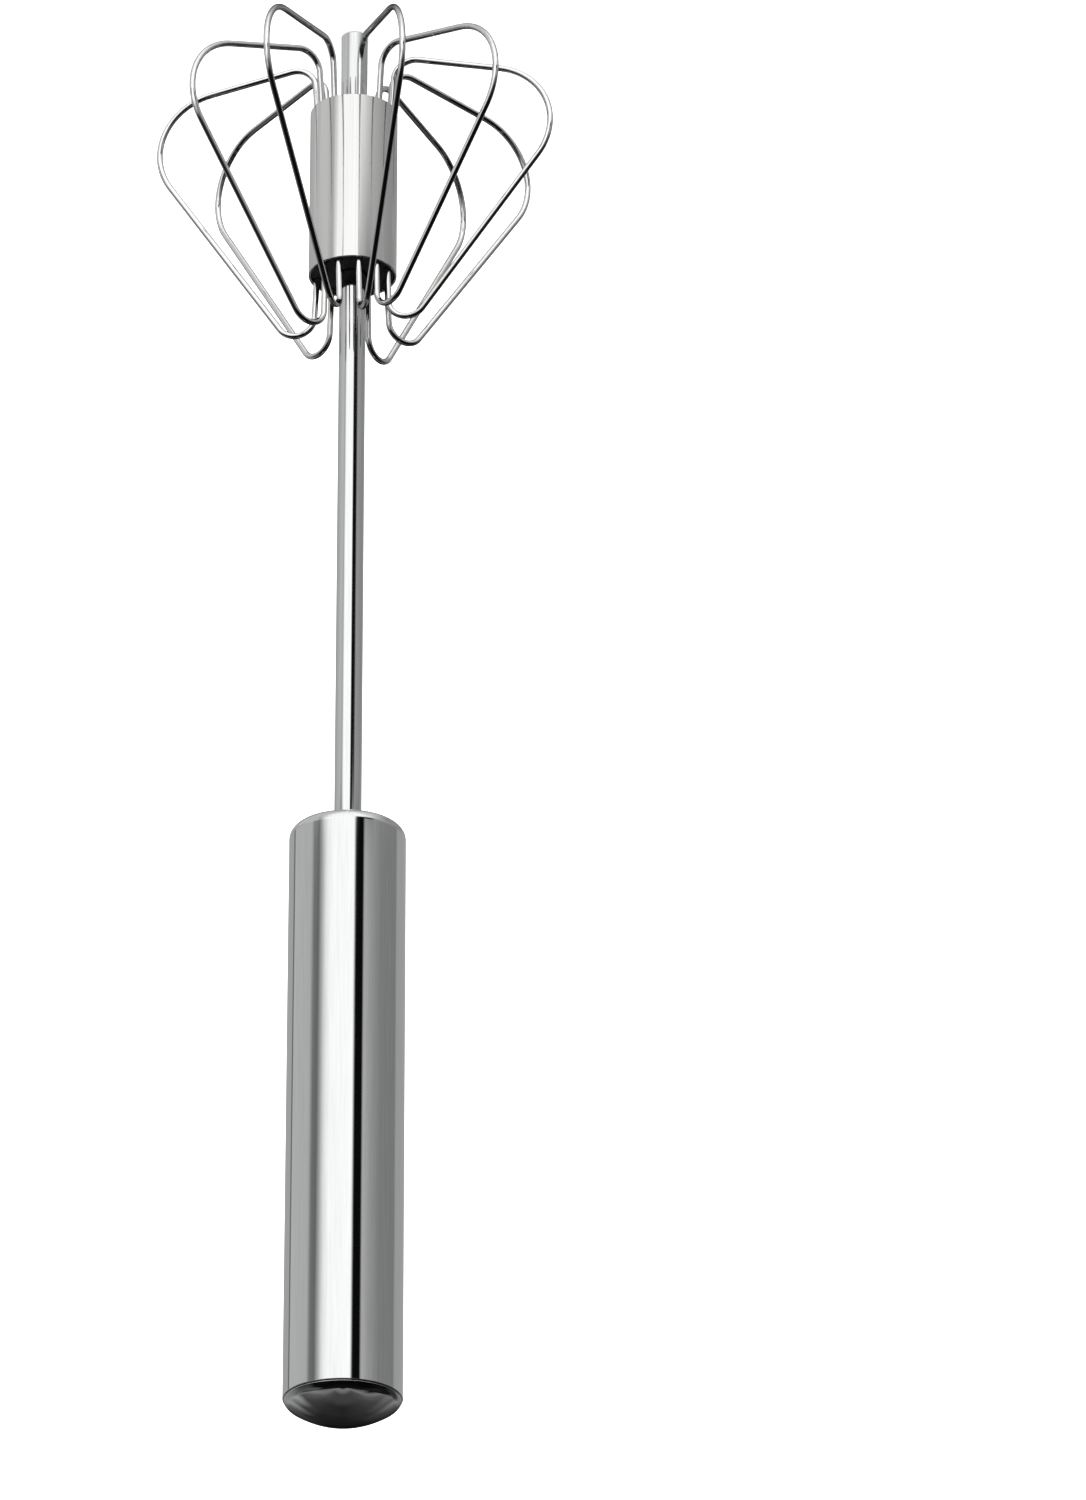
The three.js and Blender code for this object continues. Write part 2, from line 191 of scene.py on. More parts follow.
class WhiskSizes(bpy.types.PropertyGroup):
    """Sizes of the pieces, where the frame doesn't fix them."""

    handle_wall: length("Handle wall", 0.6 * MM, "Thickness of the handle tube's wall")
    shoulder_radius: length("Shoulder", 2.5 * MM, "Radius that rounds the handle's mouth end")
    mouth_radius: length("Mouth", 3.9 * MM, "Radius of the hole that the shaft comes out of")
    cap_edge_radius: length("Cap edge", 3.2 * MM, "Radius that rounds the end cap's edge")
    cap_dome_slope: tilt("Cap dome", 32.7, "How steep the end cap's dome is where its edge starts")
    cap_foot_slope: tilt("Cap foot", 65, "How steep the end cap's rounded edge is at the seal")
    shaft_bore: length("Shaft bore", 2.4 * MM, "Radius of the hollow in the shaft")
    tip_chamfer: length("Tip chamfer", 0.35 * MM, "Width of the broken edge at the shaft's tip")
    sleeve_wall: length("Sleeve wall", 0.5 * MM, "Thickness of the head sleeve's wall")
    wire_radius: length("Wire", 0.7 * MM, "Radius of the wire that the loops are bent from")
    spring_radius: length("Spring", 6.2 * MM, "Radius of the return spring's coil, to the wire")
    spring_wire: length("Spring wire", 0.5 * MM, "Radius of the return spring's wire")
    rod_width: length("Rod width", 2.6 * MM, "Width of the twisted strip")
    rod_thickness: length("Rod thickness", 0.8 * MM, "Thickness of the twisted strip")
    rod_lead: length("Rod lead", 40 * MM, "Height over which the strip makes one full turn")
    spring_turns: IntProperty(
        name="Spring turns", description="Turns in the return spring", default=11, min=3
    )


class WhiskColours(bpy.types.PropertyGroup):
    """Colours of the finishes."""

    polished_steel: colour("Polished steel", "#E6E7E7", "Mirror-polished stainless steel")
    wire_steel: colour("Wire", "#F7F7F6", "Bright drawn stainless wire of the loops")
    drawn_steel: colour("Drawn steel", "#E9E9E8", "Finely drawn stainless steel of the sleeve")
    spring_steel: colour("Spring steel", "#B9BABA", "Plain bright steel of the drive")
    nylon: colour("Hub nylon", "#0A0A0B", "Black nylon of the hubs and the cap's plug")
    acetal: colour("Acetal", "#E3E1DA", "Natural acetal of the bush and the nut")
    rubber: colour("Seal rubber", "#0C0C0C", "Black nitrile rubber of the cap's seal")
    floor: colour("Floor", "#F4F4F3", "Pale paper that the whisk stands on")


# ---- shapes ----


def unit(vectors):
    """Each vector divided by its own length."""
    return vectors / np.linalg.norm(vectors, axis=-1, keepdims=True)


def bent_line(corners, radii, steps, closed=False):
    """Straight runs joined by round bends, in two or three dimensions.

    Each bend starts radius * tan(turn / 2) before its corner, and its point at angle a is
    start + radius * sin(a) * into + radius * (1 - cos(a)) * side, for a from 0 to the turn. One
    more point on each side of a bend keeps the straight runs' shading straight.
    """
    corners = np.asarray(corners, dtype=float)
    before, after = np.roll(corners, 1, axis=0), np.roll(corners, -1, axis=0)
    turned_at = slice(None) if closed else slice(1, -1)
    corner = corners[turned_at]
    into = unit(corner - before[turned_at])
    out = unit(after[turned_at] - corner)
    cosine = np.sum(into * out, axis=-1, keepdims=True)
    turn = np.arccos(np.clip(cosine, -1, 1))
    side = unit(out - cosine * into)
    radius = np.asarray(radii, dtype=float)[:, None]
    setback = radius * np.tan(turn / 2)
    angle = turn[:, None] * np.linspace(0, 1, steps + 1)[None, :, None]
    forward = radius[:, None] * np.sin(angle) * into[:, None]
    across = radius[:, None] * (1 - np.cos(angle)) * side[:, None]
    arc = (corner - setback * into)[:, None] + forward + across
    guard = 0.1 * radius
    lead_in = (corner - (setback + guard) * into)[:, None]
    lead_out = (corner + (setback + guard) * out)[:, None]
    line = np.concatenate([lead_in, arc, lead_out], axis=1).reshape(-1, corners.shape[1])
    return line if closed else np.concatenate([corners[:1], line, corners[-1:]])


def turned(section, sides):
    """A surface of revolution: each point (r, z) of the half section goes to (r cos a, r sin a, z)
    for the same even steps of a round the Z axis."""
    angle = np.linspace(0, 2 * np.pi, sides, endpoint=False)
    radius, height = section[:, :1], section[:, 1:]
    return np.stack(
        [radius * np.cos(angle), radius * np.sin(angle), height + 0 * angle], axis=-1
    )


def box_section(inner, outer, low, high, edge):
    """The rectangular half section of a ring, with its four edges broken to a small radius."""
    corners = [(inner, low), (outer, low), (outer, high), (inner, high)]
    return bent_line(corners, [edge] * 4, EDGE_STEPS, closed=True)


def round_bar(line, radius, sides, across):
    """A round bar carried along a line: point = line + r * (cos(a) * n + sin(a) * b), where b is
    the fixed direction across, made square to the line, and n is square to both. Each end closes
    as a half sphere, r = radius * cos(e) at radius * sin(e) beyond the line's end."""
    tangent = unit(np.gradient(line, axis=0))
    bulge = np.linspace(0, np.pi / 2, EDGE_STEPS + 1)[1:]
    reach, shrink = radius * np.sin(bulge)[:, None], radius * np.cos(bulge)
    start = (line[:1] - reach * tangent[:1])[::-1]
    end = line[-1:] + reach * tangent[-1:]
    many = len(bulge)
    centre = np.concatenate([start, line, end])
    tangent = np.concatenate(
        [np.repeat(tangent[:1], many, 0), tangent, np.repeat(tangent[-1:], many, 0)]
    )
    size = np.concatenate([shrink[::-1], np.full(len(line), radius), shrink])[:, None, None]
    level = unit(across - np.sum(across * tangent, axis=-1, keepdims=True) * tangent)
    upright = np.cross(level, tangent)
    angle = np.linspace(0, 2 * np.pi, sides, endpoint=False)[None, :, None]
    ring = np.cos(angle) * upright[:, None] + np.sin(angle) * level[:, None]
    return centre[:, None] + size * ring


def polar(radius, height, azimuth_deg):
    """The point at that distance from the axis, height and azimuth."""
    azimuth = math.radians(azimuth_deg)
    return np.array([-radius * math.sin(azimuth), -radius * math.cos(azimuth), height])


def loop_corners(azimuths, reach, rise, foot):
    """The five corners of a wire loop: its end in the tip-side hub, its tip corner, its full
    reach, its foot and its end in the grip-side hub."""
    tip, outer, low, hub = azimuths
    return np.array(
        [
            polar(LEG_R, LEG_ENDS_Z[0], tip),
            polar(CORNER_R, TIP_CORNER_Z, tip),
            polar(REACH_R + reach * MM, REACH_Z + rise * MM, outer),
            polar(CORNER_R, FOOT_Z + foot * MM, low),
            polar(LEG_R, LEG_ENDS_Z[1], hub),
        ]
    )


# ---- pieces ----


def grid_object(name, grid, finish, closed_rows=False):
    """An object whose four-sided faces lie over a grid of points that closes round its columns,
    and round its rows too if it is told so."""
    rows, columns = grid.shape[:2]
    index = np.arange(rows * columns).reshape(rows, columns)
    if closed_rows:
        index = np.vstack([index, index[:1]])
    beside = np.roll(index, -1, axis=1)
    quads = np.stack([index[:-1], beside[:-1], beside[1:], index[1:]], axis=-1)
    mesh = bpy.data.meshes.new(name)
    mesh.from_pydata(grid.reshape(-1, 3).tolist(), [], quads.reshape(-1, 4).tolist())
    mesh.shade_smooth()
    mesh.materials.append(finish)
    made = bpy.data.objects.new(name, mesh)
    bpy.context.scene.collection.objects.link(made)
    return made


def make_piece(name, grid, body, finish, replaced, closed_rows=False):
    """A piece over a grid of points: the points that meet at a pole are welded and the faces
    turned outwards. The piece then rides on its body."""
    piece = grid_object(name, grid, finish, closed_rows)
    mesh = piece.data
    shape = bmesh.new()
    shape.from_mesh(mesh)
    bmesh.ops.remove_doubles(shape, verts=shape.verts, dist=WELD)
    bmesh.ops.recalc_face_normals(shape, faces=shape.faces)
    shape.to_mesh(mesh)
    shape.free()
    mesh.set_sharp_from_angle(angle=math.radians(SHARP_DEG))
    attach(piece, body)
    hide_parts(*replaced)
    return piece


def refinish(node, finish):
    """Gives a node of the frame, whose shape is right, its real finish."""
    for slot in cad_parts[node].material_slots:
        slot.material = finish


# ---- finishes ----


def add_node(tree, kind, inputs=None, **settings):
    """Adds a node with its settings. Each input gets a value, or a link where it is a socket."""
    made = tree.nodes.new(kind)
    for name, value in settings.items():
        setattr(made, name, value)
    for name, value in (inputs or {}).items():
        if isinstance(value, bpy.types.NodeSocket):
            tree.links.new(value, made.inputs[name])
        else:
            made.inputs[name].default_value = value
    return made


def finish_named(name, build):
    """The finish of that name, built the first time that it is asked for."""
    known = bpy.data.materials.get(name)
    if known:
        return known
    material = bpy.data.materials.new(name)
    material.use_nodes = True
    material.node_tree.nodes.clear()
    build(material.node_tree)
    return material


def tone(shade, factor):
    """A linear colour made lighter or darker, with full alpha."""
    return tuple(min(1.0, c * factor) for c in shade) + (1.0,)


def metal(tree, shade, marks_along, fine, depth, roughness, wander, rim=1.0):
    """Bare metal: fine marks set its bump, its roughness and a little of its colour, and a slow
    wander of the surface, of the given size and depth, bends what it reflects.

    marks_along is how many marks there are in a metre along X, Y and Z, and rim is how much of
    the light is left where the surface turns away from the eye.
    """
    place = add_node(tree, "ShaderNodeTexCoord").outputs["Object"]
    stretched = add_node(tree, "ShaderNodeMapping", {"Vector": place, "Scale": marks_along})
    marks = add_node(
        tree,
        "ShaderNodeTexNoise",
        {"Vector": stretched.outputs["Vector"], "Scale": 1.0, "Detail": fine, "Roughness": 0.6},
    ).outputs["Fac"]
    slow = add_node(
        tree, "ShaderNodeTexNoise", {"Vector": place, "Scale": 1.0 / wander[0], "Detail": 1.0}
    )
    tint = add_node(tree, "ShaderNodeValToRGB", {"Fac": marks})
    dark_stop, light_stop = tint.color_ramp.elements
    dark_stop.position, light_stop.position = NOISE_RANGE
    dark_stop.color, light_stop.color = tone(shade, 0.94), tone(shade, 1.03)
    gloss = add_node(
        tree,
        "ShaderNodeMapRange",
        {
            "Value": marks,
            "From Min": NOISE_RANGE[0],
            "From Max": NOISE_RANGE[1],
            "To Min": roughness[0],
            "To Max": roughness[1],
        },
    )
    wave = add_node(
        tree, "ShaderNodeBump", {"Height": slow.outputs["Fac"], "Distance": wander[1]}
    )
    bump = add_node(
        tree,
        "ShaderNodeBump",
        {"Height": marks, "Distance": depth, "Normal": wave.outputs["Normal"]},
    )
    shader = add_node(
        tree,
        "ShaderNodeBsdfPrincipled",
        {
            "Metallic": 1.0,
            "Base Color": tint.outputs["Color"],
            "Roughness": gloss.outputs["Result"],
            "Specular Tint": (rim, rim, rim, 1.0),
            "Normal": bump.outputs["Normal"],
        },
    )
    add_node(tree, "ShaderNodeOutputMaterial", {"Surface": shader.outputs["BSDF"]})


def polymer(tree, shade, speckle, lightest, depth, roughness, ior):
    """Moulded plastic or rubber: a speckle of the given size sets its bump, how dull it is and a
    little of its colour, which it makes up to lightest times as light."""
    place = add_node(tree, "ShaderNodeTexCoord").outputs["Object"]
    grain = add_node(
        tree,
        "ShaderNodeTexNoise",
        {"Vector": place, "Scale": 1.0 / speckle, "Detail": 3.0, "Roughness": 0.65},
    ).outputs["Fac"]
    tint = add_node(tree, "ShaderNodeValToRGB", {"Fac": grain})
    dark_stop, light_stop = tint.color_ramp.elements
    dark_stop.position, light_stop.position = SPECKLE_RANGE
    dark_stop.color, light_stop.color = tone(shade, 0.8), tone(shade, lightest)
    gloss = add_node(
        tree,
        "ShaderNodeMapRange",
        {
            "Value": grain,
            "From Min": NOISE_RANGE[0],
            "From Max": NOISE_RANGE[1],
            "To Min": roughness[0],
            "To Max": roughness[1],
        },
    )
    bump = add_node(tree, "ShaderNodeBump", {"Height": grain, "Distance": depth})
    shader = add_node(
        tree,
        "ShaderNodeBsdfPrincipled",
        {
            "IOR": ior,
            "Base Color": tint.outputs["Color"],
            "Roughness": gloss.outputs["Result"],
            "Normal": bump.outputs["Normal"],
        },
    )
    add_node(tree, "ShaderNodeOutputMaterial", {"Surface": shader.outputs["BSDF"]})


def mirror_polished_stainless():
    """18/10 stainless tube, drawn and then buffed to a mirror. It reflects the studio as clean
    stripes, and the drawing left the faintest lengthwise wander in them. The buffing marks are far
    under 0.1 mm, and are drawn 0.5 mm wide and very shallow."""
    shade = bpy.context.scene.whisk_colours.polished_steel
    return finish_named(
        "mirror_polished_stainless",
        lambda tree: metal(
            tree,
            shade,
            marks_along=(2 / MM, 2 / MM, 0.06 / MM),
            fine=2.0,
            depth=1.5e-7,
            roughness=(0.035, 0.06),
            wander=(12 * MM, 2.0e-6),
        ),
    )


def drawn_stainless_sleeve():
    """Stainless tube left as it was drawn: bright, with fine lengthwise die lines that break its
    reflections into soft upright streaks. The lines are about 0.05 mm apart, and are drawn 0.4 mm
    apart so that they show."""
    shade = bpy.context.scene.whisk_colours.drawn_steel
    return finish_named(
        "drawn_stainless_sleeve",
        lambda tree: metal(
            tree,
            shade,
            marks_along=(2.4 / MM, 2.4 / MM, 0.014 / MM),
            fine=3.0,
            depth=1.2e-6,
            roughness=(0.07, 0.13),
            wander=(10 * MM, 2.0e-6),
        ),
    )


def bright_drawn_wire():
    """Stainless spring wire, bright from the drawing die: a small round mirror that darkens at its
    rim, with faint marks from the bending tools. The marks are drawn 1 mm apart so that they
    show."""
    shade = bpy.context.scene.whisk_colours.wire_steel
    return finish_named(
        "bright_drawn_wire",
        lambda tree: metal(
            tree,
            shade,
            marks_along=(1 / MM, 1 / MM, 1 / MM),
            fine=2.0,
            depth=1.0e-7,
            roughness=(0.015, 0.035),
            wander=(9 * MM, 5.0e-7),
            rim=0.15,
        ),
    )


def plain_spring_steel():
    """Oil-finished carbon steel of the drive: darker and duller than the stainless, with marks of
    the tool all over it, about 0.3 mm apart."""
    shade = bpy.context.scene.whisk_colours.spring_steel
    return finish_named(
        "plain_spring_steel",
        lambda tree: metal(
            tree,
            shade,
            marks_along=(3.3 / MM, 3.3 / MM, 3.3 / MM),
            fine=4.0,
            depth=2.0e-6,
            roughness=(0.24, 0.42),
            wander=(8 * MM, 3.0e-6),
        ),
    )


def moulded_black_nylon():
    """Black nylon 6, moulded against a spark-eroded tool: deep black, half dull, with a fine
    speckle of about 0.3 mm."""
    shade = bpy.context.scene.whisk_colours.nylon
    return finish_named(
        "moulded_black_nylon",
        lambda tree: polymer(
            tree,
            shade,
            speckle=0.35 * MM,
            lightest=1.7,
            depth=1.2e-5,
            roughness=(0.38, 0.6),
            ior=1.53,
        ),
    )


def machined_acetal():
    """Natural acetal, turned and slippery: milky white, a little waxy, with fine tool marks of
    about 0.4 mm."""
    shade = bpy.context.scene.whisk_colours.acetal
    return finish_named(
        "machined_acetal",
        lambda tree: polymer(
            tree,
            shade,
            speckle=0.4 * MM,
            lightest=1.04,
            depth=4e-6,
            roughness=(0.3, 0.45),
            ior=1.48,
        ),
    )


def nitrile_rubber():
    """Black nitrile rubber, moulded: dull black with a fine grain of about 0.25 mm."""
    shade = bpy.context.scene.whisk_colours.rubber
    return finish_named(
        "nitrile_rubber",
        lambda tree: polymer(
            tree,
            shade,
            speckle=0.25 * MM,
            lightest=1.7,
            depth=8e-6,
            roughness=(0.6, 0.8),
            ior=1.52,
        ),
    )


def seamless_paper(tree):
    """Matt seamless paper: almost white, with a barely visible mottle of about 40 mm."""
    shade = bpy.context.scene.whisk_colours.floor
    mottle_size = 40 * MM
    place = add_node(tree, "ShaderNodeTexCoord").outputs["Object"]
    mottle = add_node(
        tree, "ShaderNodeTexNoise", {"Vector": place, "Scale": 1 / mottle_size, "Detail": 2.0}
    )
    tint = add_node(tree, "ShaderNodeValToRGB", {"Fac": mottle.outputs["Fac"]})
    tint.color_ramp.elements[0].color = tone(shade, 0.985)
    tint.color_ramp.elements[1].color = tone(shade, 1.0)
    shader = add_node(
        tree,
        "ShaderNodeBsdfPrincipled",
        {"Base Color": tint.outputs["Color"], "Roughness": 0.9, "Specular IOR Level": 0.0},
    )
    add_node(tree, "ShaderNodeOutputMaterial", {"Surface": shader.outputs["BSDF"]})


# ---- the studio ----

CAMERA_TARGET = Vector((-41.74 * MM, 0.0, 176.6 * MM))
CAMERA_DISTANCE = 1716 * MM
CAMERA_ELEVATION = 25.32
CAMERA_ROLL = 179.85  # the whisk hangs head up in the picture
CAMERA_LENS = 128.0
CAMERA_SENSOR = 24.0  # its height
FLOOR_R = 6.0
ROOM_LIGHT = 2.3  # strength of the even light that the floor and the plastics get
SOFTBOX_SIZE, SOFTBOX_POWER = 1.6, 9.0
SOFTBOX_PLACE = Vector((0.5, -0.7, 1.9))
TENT_R = 8.0
TENT_CENTRE = Vector((0.0, 0.0, 0.16))
TENT_GAIN = 1.26  # makes up for what the steel doesn't reflect
TENT_RINGS = 90
TENT_TOP_DEG = 89.9  # elevation of its last ring

# The light tent's cloth and panels, in rows from its bottom to its top. Each row holds between its
# two elevations and blends into the next one. It is a list of (azimuth, grey from 0 to 255).
UNDER_CLOTH = (
    (-180, 150), (-150, 170), (-110, 180), (-50, 196), (-20, 232), (30, 234), (60, 205), (110, 186),
    (150, 170), (180, 150),
)
LOW_CLOTH = (
    (-180, 118), (-150, 140), (-120, 184), (-60, 176), (-46, 214), (-30, 250), (30, 250), (46, 226),
    (70, 184), (100, 128), (130, 140), (150, 130), (180, 118),
)
SLEEVE_BAND = (
    (-180, 160), (-129, 168), (-112, 190), (-104, 170), (-96, 188), (-72, 188), (-60, 168),
    (-53, 166), (-46, 196), (-38, 232), (-22, 246), (8, 248), (20, 240), (30, 228), (38, 206),
    (48, 192), (56, 172), (72, 158), (88, 148), (110, 138), (140, 132), (180, 150),
)
SHAFT_BAND = (
    (-180, 150), (-120, 158), (-75, 180), (-60, 172), (-53, 156), (-46, 226), (-40, 252), (14, 252),
    (21, 60), (25, 10), (44, 10), (50, 70), (57, 144), (80, 140), (120, 128), (150, 150),
    (180, 150),
)
HANDLE_BAND = (
    (-180, 152), (-129, 156), (-127, 92), (-124, 92), (-122, 172), (-74, 168), (-66, 110),
    (-56, 98), (-49, 160), (-40, 222), (-30, 248), (14, 252), (18.5, 10), (32.5, 10), (36, 168),
    (50, 146), (72, 122), (112, 118), (118, 150), (180, 152),
)
LOW_BAND = (
    (-180, 30), (-168, 60), (-158, 120), (-130, 150), (-100, 160), (-88, 130), (-75, 130),
    (-60, 196), (-46, 240), (-22, 246), (-6, 200), (8, 146), (26, 124), (44, 96), (60, 60),
    (90, 72), (112, 100), (136, 140), (158, 120), (168, 60), (180, 30),
)
EYE_BAND = (
    (-180, 12), (-174, 14), (-168, 40), (-162, 74), (-150, 136), (-110, 126), (-100, 130),
    (-90, 96), (-74, 100), (-60, 142), (-45, 186), (-30, 176), (-12, 112), (0, 80), (14, 62),
    (36, 26), (76, 22), (92, 40), (112, 66), (136, 120), (152, 116), (162, 72), (168, 46),
    (174, 20), (180, 12),
)
BROW_BAND = (
    (-180, 24), (-170, 26), (-162, 38), (-156, 90), (-150, 144), (-140, 136), (-110, 108),
    (-94, 66), (-80, 44), (-62, 8), (-34, 8), (-18, 12), (0, 8), (92, 10), (112, 46), (136, 48),
    (144, 96), (150, 130), (156, 98), (162, 60), (172, 28), (180, 24),
)
HIGH_BAND = (
    (-180, 28), (-162, 32), (-150, 60), (-138, 152), (-120, 100), (-92, 66), (-76, 60), (-62, 8),
    (-40, 16), (-22, 10), (60, 5), (92, 18), (122, 20), (138, 112), (150, 78), (162, 44),
    (180, 28),
)
CEILING = (
    (-180, 34), (-155, 42), (-140, 60), (-129, 86), (-122, 128), (-115, 60), (-92, 84), (-70, 8),
    (78, 6), (100, 30), (118, 18), (126, 16), (130, 116), (136, 86), (144, 64), (156, 50),
    (180, 34),
)
VAULT = (
    (-180, 62), (-150, 62), (-136, 76), (-124, 114), (-118, 104), (-112, 12), (112, 14),
    (118, 24), (122, 90), (128, 118), (134, 76), (150, 64), (180, 62),
)
SKY_PANEL = (
    (-180, 112), (-130, 120), (-118, 104), (-112, 12), (112, 14), (118, 24), (124, 118),
    (180, 112),
)
TOP = ((-180, 12), (180, 12))
ROWS = (
    (-90, -62, UNDER_CLOTH),
    (-50, -38, LOW_CLOTH),
    (-33, -29.65, SLEEVE_BAND),
    (-29.5, -24.9, SHAFT_BAND),
    (-24.5, -17, HANDLE_BAND),
    (-11, -9, LOW_BAND),
    (2, 7, EYE_BAND),
    (16, 24, BROW_BAND),
    (31, 38, HIGH_BAND),
    (46, 62, CEILING),
    (70, 79, VAULT),
    (83.5, 85, SKY_PANEL),
    (86.5, 90, TOP),
)


def light_tent_skin(tree):
    """White cloth and grey and black panels round the whisk, lit evenly from behind. A point's
    azimuth is atan2(-x, -y) and its elevation asin(z) of its direction from the tent's centre."""
    math_node = "ShaderNodeMath"
    mix_share, mix_from, mix_to = 0, 6, 7  # inputs of a colour Mix node, by number
    place = add_node(tree, "ShaderNodeTexCoord").outputs["Object"]
    offset = add_node(tree, "ShaderNodeMapping", {"Vector": place, "Location": -TENT_CENTRE})
    direction = add_node(
        tree, "ShaderNodeVectorMath", {0: offset.outputs["Vector"]}, operation="NORMALIZE"
    )
    parts = add_node(tree, "ShaderNodeSeparateXYZ", {0: direction.outputs["Vector"]}).outputs
    west = add_node(tree, math_node, {0: parts["X"], 1: -1.0}, operation="MULTIPLY")
    south = add_node(tree, math_node, {0: parts["Y"], 1: -1.0}, operation="MULTIPLY")
    turn = add_node(
        tree, math_node, {0: west.outputs[0], 1: south.outputs[0]}, operation="ARCTAN2"
    )
    round_share = add_node(
        tree, math_node, {0: turn.outputs[0], 1: 0.5 / math.pi, 2: 0.5}, operation="MULTIPLY_ADD"
    )
    climb = add_node(tree, math_node, {0: parts["Z"]}, operation="ARCSINE")
    elevation = add_node(tree, math_node, {0: climb.outputs[0]}, operation="DEGREES")
    shade = None
    for row, (low, high, panels) in enumerate(ROWS):
        ramp = add_node(tree, "ShaderNodeValToRGB", {"Fac": round_share.outputs[0]})
        stops = ramp.color_ramp.elements
        while len(stops) < len(panels):
            stops.new(0.5)
        for stop, (azimuth, grey) in zip(stops, panels):
            stop.position = azimuth / 360 + 0.5
            stop.color = linear("#" + f"{grey:02x}" * 3) + (1.0,)
        if row:
            share = add_node(
                tree,
                "ShaderNodeMapRange",
                {"Value": elevation.outputs[0], "From Min": ROWS[row - 1][1], "From Max": low},
            )
            mix = add_node(
                tree,
                "ShaderNodeMix",
                {mix_share: share.outputs["Result"], mix_from: shade, mix_to: ramp.outputs[0]},
                data_type="RGBA",
            )
            shade = mix.outputs[2]
        else:
            shade = ramp.outputs["Color"]
    glow = add_node(tree, "ShaderNodeEmission", {"Color": shade, "Strength": TENT_GAIN})
    add_node(tree, "ShaderNodeOutputMaterial", {"Surface": glow.outputs["Emission"]})


def make_camera():
    """A long lens that looks down on the whisk from the handle's end, at the front."""
    data = bpy.data.cameras.new("studio_camera")
    data.sensor_fit = "VERTICAL"
    data.sensor_height = CAMERA_SENSOR
    data.lens = CAMERA_LENS
    camera = bpy.data.objects.new("studio_camera", data)
    bpy.context.scene.collection.objects.link(camera)
    elevation = math.radians(CAMERA_ELEVATION)
    back = Vector((0.0, -math.cos(elevation), math.sin(elevation)))
    turn = back.to_track_quat("Z", "Y").to_matrix().to_4x4()
    roll = Matrix.Rotation(math.radians(CAMERA_ROLL), 4, "Z")
    place = Matrix.Translation(CAMERA_TARGET + CAMERA_DISTANCE * back)
    camera.matrix_world = place @ turn @ roll
    bpy.context.scene.camera = camera


def stage_piece(name, grid, finish):
    """A surface of the studio over a grid of points that closes round its columns."""
    made = grid_object(name, grid, finish)
    return made


class WHISK_OT_stage(bpy.types.Operator):
    """Set up the camera, the pale floor, the soft light and the light tent."""

    bl_idname = "whisk.stage"
    bl_label = "Studio"

    def execute(self, context):
        make_camera()
        context.scene.view_settings.view_transform = "Standard"
        floor_rings = np.array([[0.02 * MM, 0.0], [1.0, 0.0], [FLOOR_R, 0.0]])
        paper = finish_named("seamless_paper", seamless_paper)
        floor = stage_piece("studio_floor", turned(floor_rings, SMALL_SIDES), paper)
        floor.visible_glossy = False
        climb = np.radians(np.linspace(-TENT_TOP_DEG, TENT_TOP_DEG, TENT_RINGS))
        dome = TENT_R * np.stack([np.cos(climb), np.sin(climb)], axis=-1)
        dome = turned(dome, SMALL_SIDES) + np.array(TENT_CENTRE)
        tent = stage_piece("light_tent", dome, finish_named("light_tent_skin", light_tent_skin))
        tent.visible_camera = False
        tent.visible_diffuse = False
        tent.visible_shadow = False
        world = bpy.data.worlds.new("studio_air")
        world.use_nodes = True
        air = world.node_tree.nodes["Background"].inputs
        air["Color"].default_value = (1, 1, 1, 1)
        air["Strength"].default_value = ROOM_LIGHT
        context.scene.world = world
        lamp = bpy.data.lights.new("overhead_softbox", "AREA")
        lamp.shape = "DISK"
        lamp.size = SOFTBOX_SIZE
        lamp.energy = SOFTBOX_POWER
        softbox = bpy.data.objects.new("overhead_softbox", lamp)
        softbox.location = SOFTBOX_PLACE
        softbox.rotation_euler = (-SOFTBOX_PLACE).to_track_quat("-Z", "Y").to_euler()
        softbox.visible_glossy = False
        context.scene.collection.objects.link(softbox)
        return {"FINISHED"}


# ---- operators, one for each piece or group of like pieces ----


class WHISK_OT_handle_tube(bpy.types.Operator):
    """Make the polished handle tube, with the rounded shoulder at its mouth."""

    bl_idname = "whisk.handle_tube"
    bl_label = "Handle tube"

    def execute(self, context):
        sizes = context.scene.whisk_sizes
        inner = HANDLE_R - sizes.handle_wall
        inner_low = HANDLE_LOW + sizes.handle_wall
        corners = [
            (sizes.mouth_radius, HANDLE_LOW),
            (HANDLE_R, HANDLE_LOW),
            (HANDLE_R, HANDLE_TOP),
            (inner, HANDLE_TOP),
            (inner, inner_low),
            (sizes.mouth_radius, inner_low),
        ]
        lip, rim = 0.2 * MM, 0.15 * MM
        inside = sizes.shoulder_radius - sizes.handle_wall
        radii = [lip, sizes.shoulder_radius, rim, rim, inside, lip]
        section = bent_line(corners, radii, SHOULDER_STEPS, closed=True)
        make_piece(
            "handle_tube",
            turned(section, ROUND_SIDES),
            "handle",
            mirror_polished_stainless(),
            ["handle_shell"],
            closed_rows=True,
        )
        return {"FINISHED"}


